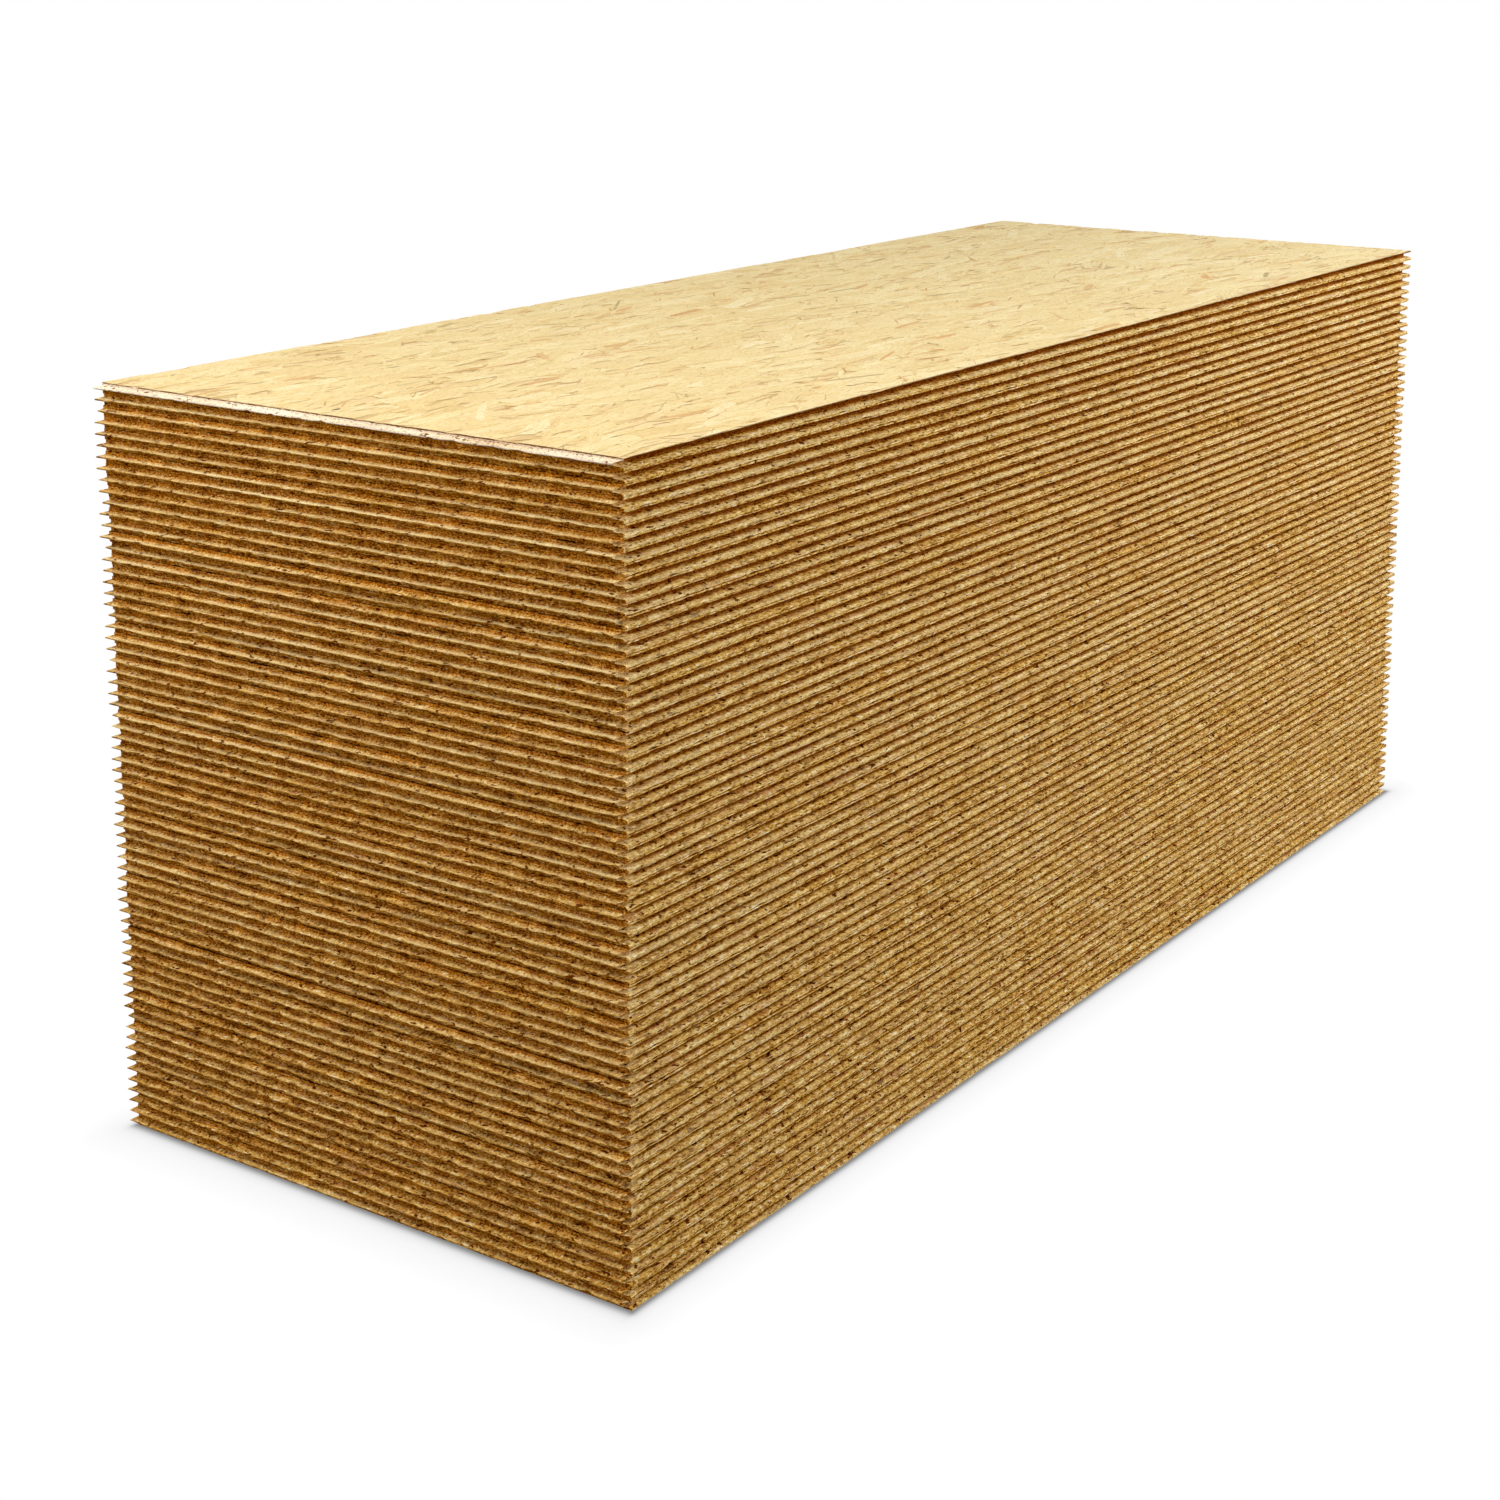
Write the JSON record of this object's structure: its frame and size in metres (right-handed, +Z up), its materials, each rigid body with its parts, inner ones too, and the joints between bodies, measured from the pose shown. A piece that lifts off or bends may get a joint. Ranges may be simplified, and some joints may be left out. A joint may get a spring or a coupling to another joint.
{
  "type": "stack of osb panels",
  "caption": "Neat stack of tongue-and-groove OSB laying panels, lying flat on one another and squared up by hand, with no pallet, bearers or straps.",
  "frame": {"origin": "on the floor, under the middle of the stack's outline", "axes": "+Z up; the panels' length runs along Y and their width along X; the short tongue side faces -Y and the long groove side faces +X"},
  "size_m": [0.6838, 1.8494, 0.816],
  "materials": {
    "osb": "pressed wood strands, unsanded, matt to satin, with milled edges"
  },
  "bodies": {
    "root": {"bottom_panel": "osb", "panels_02_03": "osb", "panels_04_05": "osb", "panels_06_07": "osb", "panels_08_09": "osb", "panels_10_11": "osb", "panels_12_13": "osb", "panels_14_15": "osb", "panels_16_17": "osb", "panels_18_19": "osb", "panels_20_21": "osb", "panels_22_23": "osb", "panels_24_25": "osb", "panels_26_27": "osb", "panels_28_29": "osb", "panels_30_31": "osb", "panels_32_33": "osb", "panels_34_35": "osb", "panels_36_37": "osb", "panels_38_39": "osb", "panels_40_41": "osb", "panels_42_43": "osb", "panels_44_45": "osb", "panels_46_47": "osb", "panels_48_49": "osb", "panels_50_51": "osb", "panels_52_53": "osb", "panels_54_55": "osb", "panels_56_57": "osb", "panels_58_59": "osb", "panels_60_61": "osb", "panels_62_63": "osb", "panels_64_65": "osb", "panels_66_67": "osb", "top_panel": "osb"}
  },
  "joints": []
}
